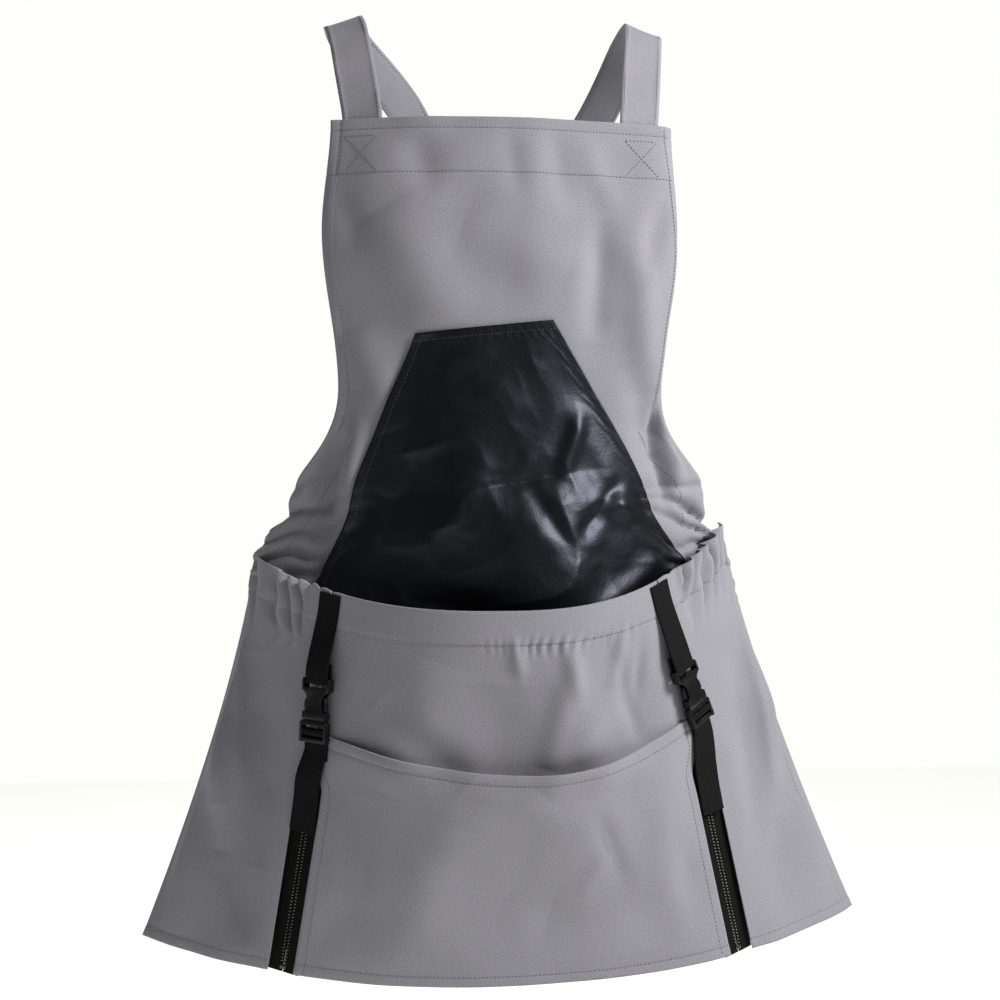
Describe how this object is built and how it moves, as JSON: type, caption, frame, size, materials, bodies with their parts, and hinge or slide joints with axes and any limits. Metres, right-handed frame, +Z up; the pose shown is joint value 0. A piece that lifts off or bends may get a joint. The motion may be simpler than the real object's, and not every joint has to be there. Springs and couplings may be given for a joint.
{
  "type": "artist smock apron",
  "caption": "Canvas smock apron with a bib, crossed shoulder straps, a gathered lined front pouch with buckled straps and zips, and a wide patch pocket.",
  "frame": {"origin": "midway between the tops of the two shoulder straps, where the wearer's shoulders carry the apron", "axes": "+Z up, -Y out of the apron's front, +X towards the right of somebody looking at its front"},
  "size_m": [0.6864, 0.3033, 0.8981],
  "materials": {
    "canvas": "matt plain-weave canvas",
    "coated_lining": "smooth coated cloth with a soft sheen",
    "webbing": "matt ribbed weave",
    "elastic": "matt ribbed weave",
    "buckle_plastic": "moulded, low sheen",
    "zip_teeth": "moulded, satin",
    "slider_metal": "gloss lacquer"
  },
  "bodies": {
    "apron": {"body_panel": "canvas", "bib_facing": "canvas", "front_centre_panel": "canvas", "lip_facing_centre": "canvas", "pouch_floor": "canvas", "lower_pocket": "canvas", "front_side_panel_left": "canvas", "casing_facing_left": "canvas", "wing_facing_left": "canvas", "shoulder_strap_left": "canvas", "front_side_panel_right": "canvas", "casing_facing_right": "canvas", "wing_facing_right": "canvas", "shoulder_strap_right": "canvas", "pouch_lining": "coated_lining", "mouth_elastic_left": "elastic", "wing_elastic_left": "elastic", "upper_webbing_left": "webbing", "lower_webbing_left": "webbing", "zip_tape_left_outer": "webbing", "zip_teeth_left_outer": "zip_teeth", "zip_tape_left_inner": "webbing", "zip_teeth_left_inner": "zip_teeth", "zip_bottom_stop_left": "zip_teeth", "buckle_socket_left": "buckle_plastic", "mouth_elastic_right": "elastic", "wing_elastic_right": "elastic", "upper_webbing_right": "webbing", "lower_webbing_right": "webbing", "zip_tape_right_outer": "webbing", "zip_teeth_right_outer": "zip_teeth", "zip_tape_right_inner": "webbing", "zip_teeth_right_inner": "zip_teeth", "zip_bottom_stop_right": "zip_teeth", "buckle_socket_right": "buckle_plastic"},
    "buckle_plug_left": {"buckle_plug_left": "buckle_plastic"},
    "zip_slider_left": {"zip_slider_left": "slider_metal"},
    "zip_pull_left": {"zip_pull_left": "slider_metal"},
    "buckle_arm_left_outer": {"buckle_arm_left_outer": "buckle_plastic"},
    "buckle_arm_left_inner": {"buckle_arm_left_inner": "buckle_plastic"},
    "buckle_plug_right": {"buckle_plug_right": "buckle_plastic"},
    "zip_slider_right": {"zip_slider_right": "slider_metal"},
    "zip_pull_right": {"zip_pull_right": "slider_metal"},
    "buckle_arm_right_outer": {"buckle_arm_right_outer": "buckle_plastic"},
    "buckle_arm_right_inner": {"buckle_arm_right_inner": "buckle_plastic"}
  },
  "joints": [
    {"name": "buckle_left_release", "type": "slide", "parent": "apron", "child": "buckle_plug_left", "axis": [-0.0729, -0.011, -0.9973], "range_m": [0, 0.03], "deforming": ["lower_webbing_left", "buckle_arm_left_outer", "buckle_arm_left_inner"]},
    {"name": "buckle_left_pinch_outer", "type": "hinge", "parent": "buckle_plug_left", "child": "buckle_arm_left_outer", "pos_m": [-0.17826, -0.11846, -0.65596], "axis": [0.641, 0.7655, -0.0553], "range_deg": [0, 7], "stiffness_Nm_per_rad": 0.05},
    {"name": "buckle_left_pinch_inner", "type": "hinge", "parent": "buckle_plug_left", "child": "buckle_arm_left_inner", "pos_m": [-0.16512, -0.12952, -0.6568], "axis": [-0.641, -0.7655, 0.0553], "range_deg": [0, 7], "stiffness_Nm_per_rad": 0.05},
    {"name": "zip_left_run", "type": "slide", "parent": "apron", "child": "zip_slider_left", "axis": [-0.1594, 0.0337, -0.9866], "range_m": [0, 0.13], "deforming": ["zip_teeth_left_outer", "zip_teeth_left_inner"]},
    {"name": "zip_left_pull_swing", "type": "hinge", "parent": "zip_slider_left", "child": "zip_pull_left", "pos_m": [-0.17943, -0.11307, -0.73855], "axis": [-0.8685, 0.4704, 0.1564], "range_deg": [0, 165]},
    {"name": "buckle_right_release", "type": "slide", "parent": "apron", "child": "buckle_plug_right", "axis": [0.3705, 0.1656, -0.914], "range_m": [0, 0.03], "deforming": ["lower_webbing_right", "buckle_arm_right_outer", "buckle_arm_right_inner"]},
    {"name": "buckle_right_pinch_outer", "type": "hinge", "parent": "buckle_plug_right", "child": "buckle_arm_right_outer", "pos_m": [0.17849, -0.11808, -0.64207], "axis": [0.5927, -0.7997, 0.0954], "range_deg": [0, 7], "stiffness_Nm_per_rad": 0.05},
    {"name": "buckle_right_pinch_inner", "type": "hinge", "parent": "buckle_plug_right", "child": "buckle_arm_right_inner", "pos_m": [0.1662, -0.12801, -0.64886], "axis": [-0.5927, 0.7997, -0.0954], "range_deg": [0, 7], "stiffness_Nm_per_rad": 0.05},
    {"name": "zip_right_run", "type": "slide", "parent": "apron", "child": "zip_slider_right", "axis": [0.2197, 0.0266, -0.9752], "range_m": [0, 0.134], "deforming": ["zip_teeth_right_outer", "zip_teeth_right_inner"]},
    {"name": "zip_right_pull_swing", "type": "hinge", "parent": "zip_slider_right", "child": "zip_pull_right", "pos_m": [0.18539, -0.11306, -0.72929], "axis": [-0.8615, -0.4637, -0.2068], "range_deg": [0, 165]}
  ]
}
